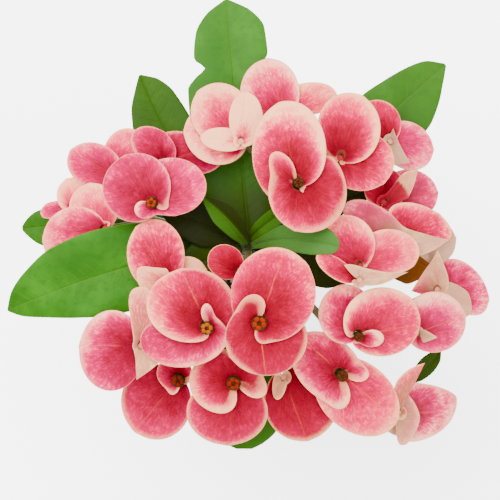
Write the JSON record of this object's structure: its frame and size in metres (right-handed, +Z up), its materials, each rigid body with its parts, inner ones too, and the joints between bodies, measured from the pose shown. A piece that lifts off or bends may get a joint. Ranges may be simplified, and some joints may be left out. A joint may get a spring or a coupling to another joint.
{
  "type": "crown of thorns plant",
  "caption": "Flowering crown of thorns with a thorny stem, broad green leaves and clustered rose-red double bracts, growing in a plain round clay pot.",
  "frame": {"origin": "centre of the pot's flat underside, on the surface it stands on", "axes": "+Z up along the pot's axis, -Y towards the front, the side that the flowering crown leans to, +X to the right"},
  "size_m": [0.2449, 0.2228, 0.2679],
  "materials": {
    "clay": "matte fired clay",
    "soil": null,
    "bark": "dry ridged bark",
    "leaf": null,
    "dark_leaf": null,
    "stalk": null,
    "bract": null,
    "pale_bract": null
  },
  "bodies": {
    "root": {"pot": "clay", "soil": "soil", "stem": "bark", "leaf_top": "leaf", "leaf_upper_left": "leaf", "leaf_left_big": "leaf", "leaf_left_small": "leaf", "leaf_upper_right": "leaf", "leaf_right_small": "leaf", "leaf_heart_left": "leaf", "leaf_heart_right": "leaf", "leaf_inner_left": "dark_leaf", "leaf_inner_low": "dark_leaf", "leaf_inner_right": "dark_leaf", "leaf_back_right": "dark_leaf", "leaf_right_low": "dark_leaf", "leaf_bottom": "leaf", "leaf_lower_right": "dark_leaf", "stalk_left": "stalk", "stalk_left_low": "stalk", "stalk_top": "stalk", "stalk_right_back": "stalk", "stalk_right": "stalk", "stalk_right_low": "stalk", "stalk_bottom_right": "stalk", "stalk_bottom": "stalk", "stalk_bottom_left": "stalk", "bloom_left_1": "bract", "bloom_left_2": "bract", "bloom_left_3": "bract", "bloom_left_4": "bract", "bloom_left_5": "bract", "bloom_top_1": "bract", "bloom_top_young": "pale_bract", "bloom_top_2": "bract", "bloom_centre": "bract", "bloom_right_1": "bract", "bloom_right_2": "bract", "bloom_right_3": "bract", "bloom_right_4": "bract", "bloom_right_5": "bract", "bloom_right_6": "bract", "bloom_right_7": "bract", "bloom_right_8": "bract", "bloom_right_9": "bract", "bloom_bottom_0": "bract", "bloom_bottom_1": "bract", "bloom_bottom_2": "bract", "bloom_bottom_3": "bract", "bloom_bottom_4": "bract", "bloom_bottom_5": "bract", "bloom_bottom_6": "bract", "bloom_bottom_7": "bract", "bloom_bottom_9": "bract", "bloom_bottom_8": "bract"}
  },
  "joints": []
}
